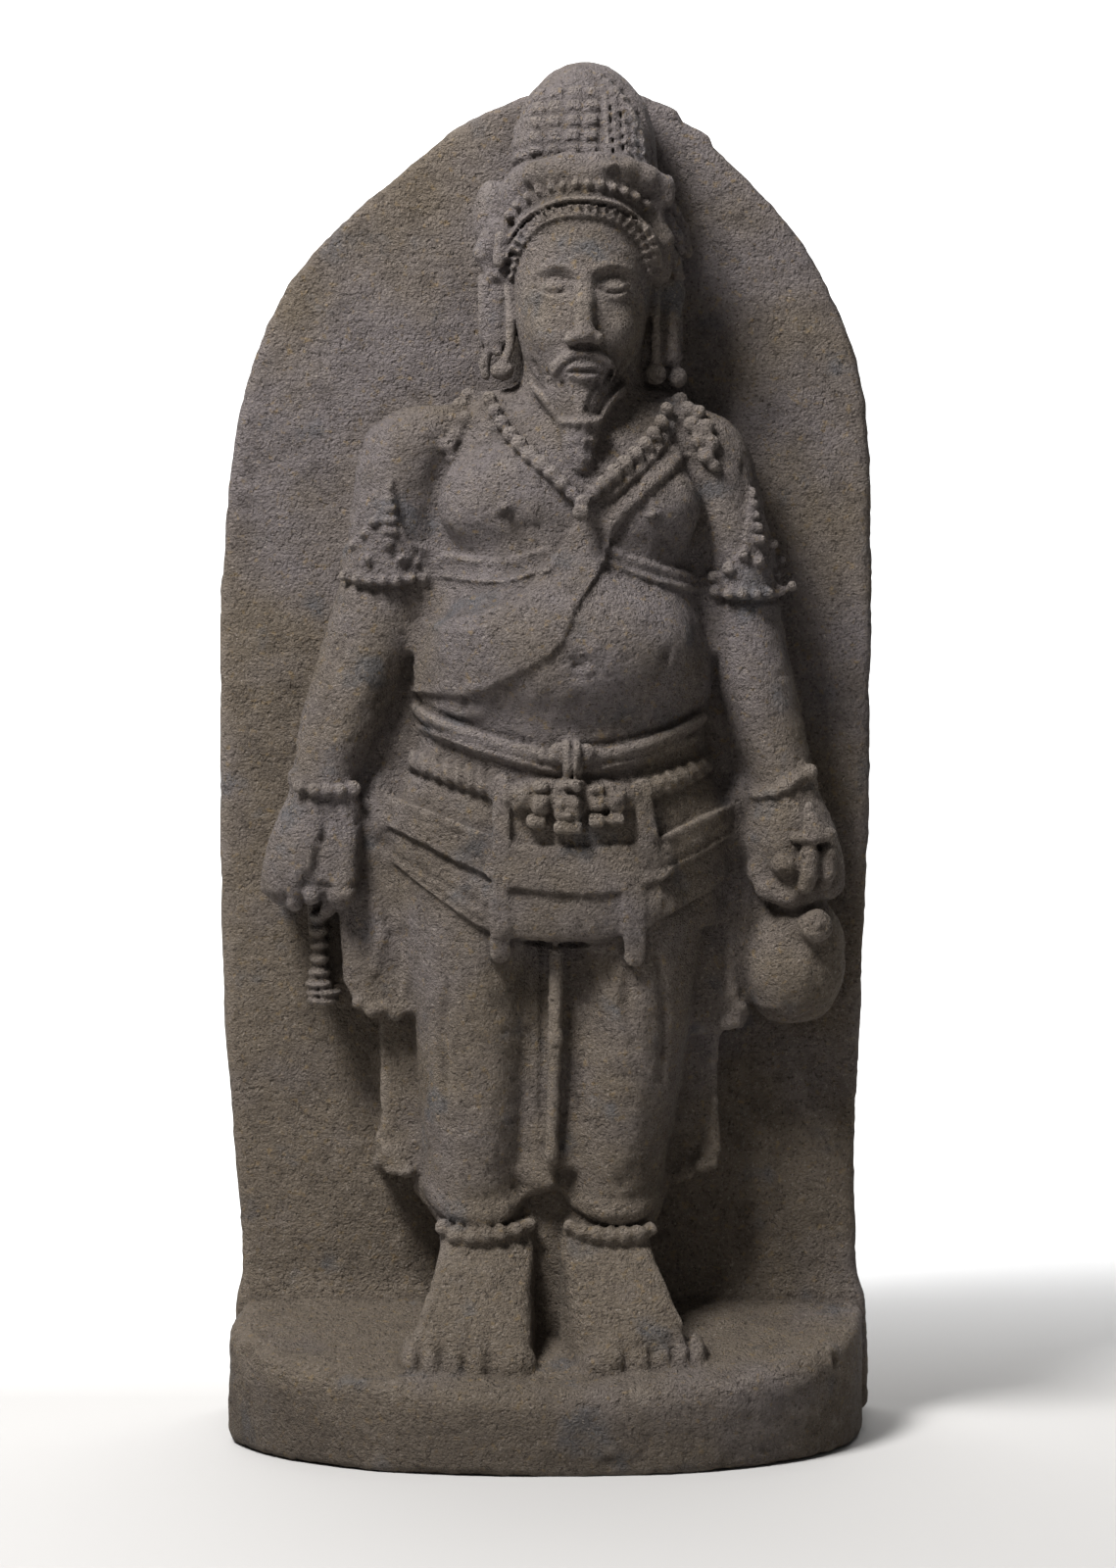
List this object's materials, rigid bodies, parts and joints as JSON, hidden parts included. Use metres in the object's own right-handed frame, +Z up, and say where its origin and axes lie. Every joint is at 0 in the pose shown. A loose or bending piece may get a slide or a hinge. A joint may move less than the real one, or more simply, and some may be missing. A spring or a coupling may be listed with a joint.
{
  "type": "stone relief stele",
  "caption": "Arched stone stele with a bearded sage in high relief, standing barefoot on a rounded plinth with prayer beads and a water pot.",
  "frame": {"origin": "bottom centre of the block, on the ground", "axes": "+Z up the stele, -Y out of the carved front, +X to the viewer's right"},
  "size_m": [0.49, 0.26, 1.02],
  "materials": {
    "stone": "rough, pitted volcanic stone with worn arrises"
  },
  "bodies": {
    "root": {"agastya_stele": "stone"}
  },
  "joints": []
}
